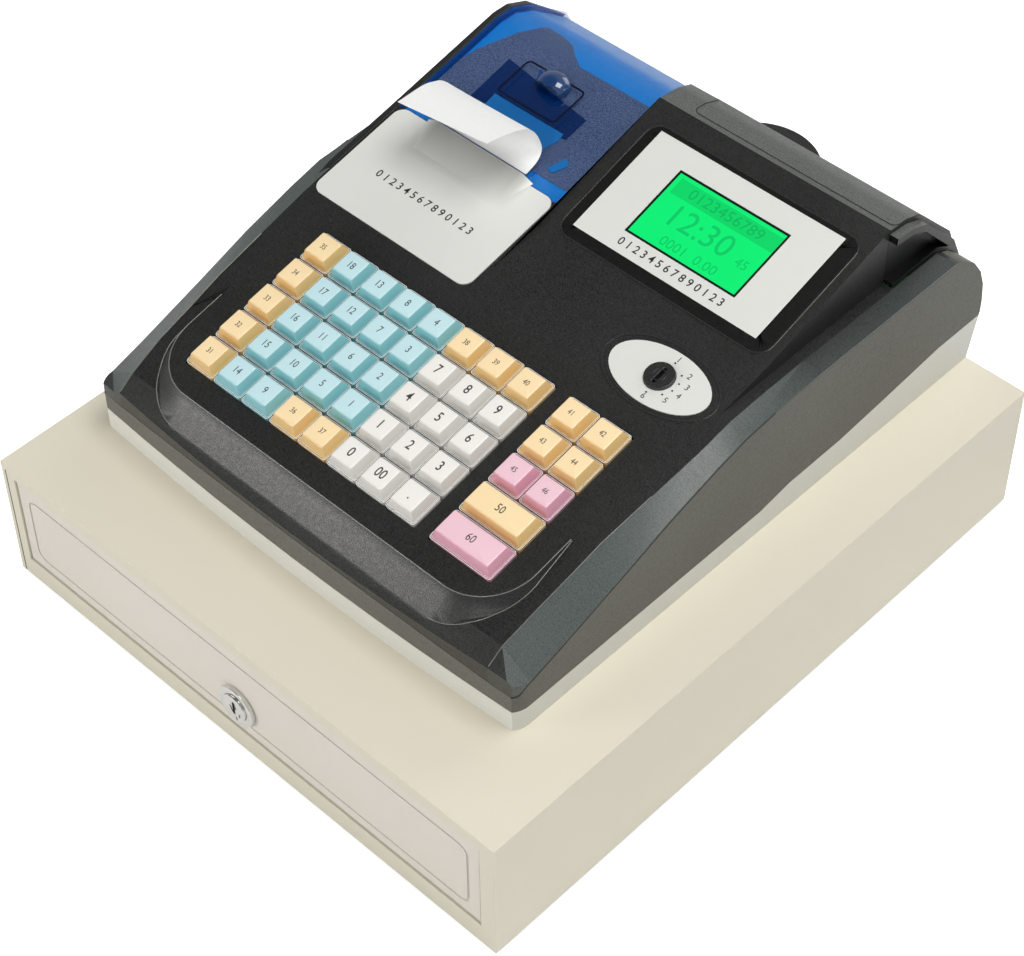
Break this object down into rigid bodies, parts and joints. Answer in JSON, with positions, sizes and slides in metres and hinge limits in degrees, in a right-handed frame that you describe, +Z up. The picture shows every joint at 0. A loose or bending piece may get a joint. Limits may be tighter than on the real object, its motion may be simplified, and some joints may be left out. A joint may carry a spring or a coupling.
{
  "type": "ticket register",
  "caption": "Counter-top ticket register on a steel cash drawer, with sloping keyboard, tilted display, ticket printer, mode switch and lockable drawer.",
  "frame": {"origin": "middle of the part's footprint, on the surface its feet stand on", "axes": "+X to the right as the user faces the keys, +Y from the drawer's front to the back, +Z up"},
  "size_m": [0.33, 0.3836, 0.2051],
  "materials": {
    "cabinet_paint": "satin cream powder paint",
    "sheet_steel": "bright zinc",
    "lock_chrome": "polished",
    "black_plastic": "fine grain, black",
    "grey_plastic": "fine grain, dark grey",
    "silver_plastic": "silver grey",
    "silver_plate": "satin",
    "clear_blue": "clear blue, glossy",
    "thermal_paper": "smooth white paper",
    "soft_rubber": "matt",
    "nylon": "natural white",
    "brass": "turned",
    "circuit_board": "green solder mask",
    "display_glass": "lit green",
    "key_cream": "clear cover over cream",
    "key_blue": "clear cover over pale blue",
    "key_white": "clear cover over white",
    "key_pink": "clear cover over pink"
  },
  "bodies": {
    "cabinet": {"cabinet_shell": "cabinet_paint", "cabinet_floor": "sheet_steel", "rubber_feet": "soft_rubber", "slide_rails": "sheet_steel", "latch_solenoid": "sheet_steel", "eject_spring": "sheet_steel", "base_tray": "silver_plastic", "lower_housing": "grey_plastic", "top_housing": "black_plastic", "key_board": "circuit_board", "printer_plate": "silver_plate", "printer_frame": "black_plastic", "feed_motor": "sheet_steel", "print_head": "sheet_steel", "display_plate": "silver_plate", "lcd_module": "display_glass", "rear_hood": "black_plastic", "mode_plate": "silver_plate", "main_board": "circuit_board", "screws": "sheet_steel"},
    "drawer": {"drawer_pan": "sheet_steel", "drawer_front": "cabinet_paint", "drawer_catch": "sheet_steel", "lock_collar": "lock_chrome", "cash_tray": "black_plastic"},
    "lock": {"lock_plug": "lock_chrome", "lock_cam": "sheet_steel"},
    "mode_switch": {"mode_switch": "black_plastic"},
    "printer_cover": {"printer_cover": "clear_blue", "receipt": "thermal_paper"},
    "paper_roll": {"paper_roll": "thermal_paper"},
    "platen": {"platen_roller": "soft_rubber"},
    "motor_pinion": {"motor_pinion": "brass"},
    "bill_clips": {"bill_clips": "sheet_steel"},
    "drawer_latch": {"drawer_latch": "sheet_steel"},
    "solenoid_plunger": {"solenoid_plunger": "sheet_steel"},
    "customer_display": {"customer_display": "black_plastic"},
    "rail_rollers": {"rail_rollers": "nylon"},
    "drawer_rollers": {"drawer_rollers": "nylon"},
    "key_7": {"key_7": "key_white"},
    "key_8": {"key_8": "key_white"},
    "key_9": {"key_9": "key_white"},
    "key_4": {"key_4": "key_white"},
    "key_5": {"key_5": "key_white"},
    "key_6": {"key_6": "key_white"},
    "key_1": {"key_1": "key_white"},
    "key_2": {"key_2": "key_white"},
    "key_3": {"key_3": "key_white"},
    "key_0": {"key_0": "key_white"},
    "key_00": {"key_00": "key_white"},
    "key_point": {"key_point": "key_white"},
    "key_total": {"key_total": "key_cream"},
    "key_cash": {"key_cash": "key_pink"},
    "keys_column_a": {"keys_column_a": "key_cream"},
    "keys_column_b": {"keys_column_b": "key_blue"},
    "keys_column_c": {"keys_column_c": "key_blue"},
    "keys_column_d": {"keys_column_d": "key_blue"},
    "keys_column_e": {"keys_column_e": "key_blue"},
    "keys_top": {"keys_top": "key_cream"},
    "keys_right": {"keys_right": "key_cream"}
  },
  "joints": [
    {"name": "drawer_slide", "type": "slide", "parent": "cabinet", "child": "drawer", "axis": [0, -1, 0], "range_m": [0, 0.275]},
    {"name": "lock_turn", "type": "hinge", "parent": "drawer", "child": "lock", "pos_m": [-0.001, -0.17925, 0.0347], "axis": [0, 1, 0], "range_deg": [0, 90]},
    {"name": "mode_turn", "type": "hinge", "parent": "cabinet", "child": "mode_switch", "pos_m": [0.0776, 0.01042, 0.15803], "axis": [0, -0.2132, 0.977], "range_deg": [-127, 47]},
    {"name": "cover_hinge", "type": "hinge", "parent": "cabinet", "child": "printer_cover", "pos_m": [-0.0825, 0.18175, 0.145], "axis": [-1, 0, 0], "range_deg": [0, 75]},
    {"name": "roll_turn", "type": "hinge", "parent": "cabinet", "child": "paper_roll", "pos_m": [-0.0825, 0.14375, 0.143], "axis": [1, 0, 0], "continuous": true},
    {"name": "platen_turn", "type": "hinge", "parent": "cabinet", "child": "platen", "pos_m": [-0.0825, 0.07275, 0.156], "axis": [1, 0, 0], "continuous": true},
    {"name": "pinion_turn", "type": "hinge", "parent": "cabinet", "child": "motor_pinion", "pos_m": [-0.046, 0.07275, 0.1413], "axis": [1, 0, 0], "continuous": true},
    {"name": "clip_hinge", "type": "hinge", "parent": "drawer", "child": "bill_clips", "pos_m": [0, 0.12605, 0.0512], "axis": [-1, 0, 0], "range_deg": [0, 45], "stiffness_Nm_per_rad": 0.1, "springref_deg": -17.19},
    {"name": "latch_turn", "type": "hinge", "parent": "cabinet", "child": "drawer_latch", "pos_m": [0.0015, 0.17025, 0.024], "axis": [0, 0, 1], "range_deg": [0, 12]},
    {"name": "plunger_slide", "type": "slide", "parent": "cabinet", "child": "solenoid_plunger", "axis": [0, 1, 0], "range_m": [0, 0.0063]},
    {"name": "turret_turn", "type": "hinge", "parent": "cabinet", "child": "customer_display", "pos_m": [0.014, 0.15375, 0.117], "axis": [0, 0, 1], "range_deg": [-90, 90]},
    {"name": "rail_roller_turn", "type": "hinge", "parent": "cabinet", "child": "rail_rollers", "pos_m": [0, -0.16925, 0.03], "axis": [1, 0, 0], "continuous": true},
    {"name": "drawer_roller_turn", "type": "hinge", "parent": "drawer", "child": "drawer_rollers", "pos_m": [0, 0.12675, 0.03], "axis": [1, 0, 0], "continuous": true},
    {"name": "key_7_press", "type": "slide", "parent": "cabinet", "child": "key_7", "axis": [0, 0.2132, -0.977], "range_m": [0, 0.0035], "stiffness_N_per_m": 150, "springref_m": -0.001},
    {"name": "key_8_press", "type": "slide", "parent": "cabinet", "child": "key_8", "axis": [0, 0.2132, -0.977], "range_m": [0, 0.0035], "stiffness_N_per_m": 150, "springref_m": -0.001},
    {"name": "key_9_press", "type": "slide", "parent": "cabinet", "child": "key_9", "axis": [0, 0.2132, -0.977], "range_m": [0, 0.0035], "stiffness_N_per_m": 150, "springref_m": -0.001},
    {"name": "key_4_press", "type": "slide", "parent": "cabinet", "child": "key_4", "axis": [0, 0.2132, -0.977], "range_m": [0, 0.0035], "stiffness_N_per_m": 150, "springref_m": -0.001},
    {"name": "key_5_press", "type": "slide", "parent": "cabinet", "child": "key_5", "axis": [0, 0.2132, -0.977], "range_m": [0, 0.0035], "stiffness_N_per_m": 150, "springref_m": -0.001},
    {"name": "key_6_press", "type": "slide", "parent": "cabinet", "child": "key_6", "axis": [0, 0.2132, -0.977], "range_m": [0, 0.0035], "stiffness_N_per_m": 150, "springref_m": -0.001},
    {"name": "key_1_press", "type": "slide", "parent": "cabinet", "child": "key_1", "axis": [0, 0.2132, -0.977], "range_m": [0, 0.0035], "stiffness_N_per_m": 150, "springref_m": -0.001},
    {"name": "key_2_press", "type": "slide", "parent": "cabinet", "child": "key_2", "axis": [0, 0.2132, -0.977], "range_m": [0, 0.0035], "stiffness_N_per_m": 150, "springref_m": -0.001},
    {"name": "key_3_press", "type": "slide", "parent": "cabinet", "child": "key_3", "axis": [0, 0.2132, -0.977], "range_m": [0, 0.0035], "stiffness_N_per_m": 150, "springref_m": -0.001},
    {"name": "key_0_press", "type": "slide", "parent": "cabinet", "child": "key_0", "axis": [0, 0.2132, -0.977], "range_m": [0, 0.0035], "stiffness_N_per_m": 150, "springref_m": -0.001},
    {"name": "key_00_press", "type": "slide", "parent": "cabinet", "child": "key_00", "axis": [0, 0.2132, -0.977], "range_m": [0, 0.0035], "stiffness_N_per_m": 150, "springref_m": -0.001},
    {"name": "key_point_press", "type": "slide", "parent": "cabinet", "child": "key_point", "axis": [0, 0.2132, -0.977], "range_m": [0, 0.0035], "stiffness_N_per_m": 150, "springref_m": -0.001},
    {"name": "key_total_press", "type": "slide", "parent": "cabinet", "child": "key_total", "axis": [0, 0.2132, -0.977], "range_m": [0, 0.0035], "stiffness_N_per_m": 300, "springref_m": -0.001},
    {"name": "key_cash_press", "type": "slide", "parent": "cabinet", "child": "key_cash", "axis": [0, 0.2132, -0.977], "range_m": [0, 0.0035], "stiffness_N_per_m": 300, "springref_m": -0.001},
    {"name": "keys_column_a_press", "type": "slide", "parent": "cabinet", "child": "keys_column_a", "axis": [0, 0.2132, -0.977], "range_m": [0, 0.0035], "stiffness_N_per_m": 750, "springref_m": -0.001},
    {"name": "keys_column_b_press", "type": "slide", "parent": "cabinet", "child": "keys_column_b", "axis": [0, 0.2132, -0.977], "range_m": [0, 0.0035], "stiffness_N_per_m": 750, "springref_m": -0.001},
    {"name": "keys_column_c_press", "type": "slide", "parent": "cabinet", "child": "keys_column_c", "axis": [0, 0.2132, -0.977], "range_m": [0, 0.0035], "stiffness_N_per_m": 750, "springref_m": -0.001},
    {"name": "keys_column_d_press", "type": "slide", "parent": "cabinet", "child": "keys_column_d", "axis": [0, 0.2132, -0.977], "range_m": [0, 0.0035], "stiffness_N_per_m": 750, "springref_m": -0.001},
    {"name": "keys_column_e_press", "type": "slide", "parent": "cabinet", "child": "keys_column_e", "axis": [0, 0.2132, -0.977], "range_m": [0, 0.0035], "stiffness_N_per_m": 750, "springref_m": -0.001},
    {"name": "keys_top_press", "type": "slide", "parent": "cabinet", "child": "keys_top", "axis": [0, 0.2132, -0.977], "range_m": [0, 0.0035], "stiffness_N_per_m": 450, "springref_m": -0.001},
    {"name": "keys_right_press", "type": "slide", "parent": "cabinet", "child": "keys_right", "axis": [0, 0.2132, -0.977], "range_m": [0, 0.0035], "stiffness_N_per_m": 900, "springref_m": -0.001}
  ],
  "couplings": [
    {"joint": "platen_turn", "follows": "roll_turn", "ratio": 4.1667},
    {"joint": "pinion_turn", "follows": "roll_turn", "ratio": -8.3333},
    {"joint": "plunger_slide", "follows": "latch_turn", "m_per_rad": 0.0295},
    {"joint": "rail_roller_turn", "follows": "drawer_slide", "rad_per_m": 166.67},
    {"joint": "drawer_roller_turn", "follows": "drawer_slide", "rad_per_m": 166.67}
  ]
}
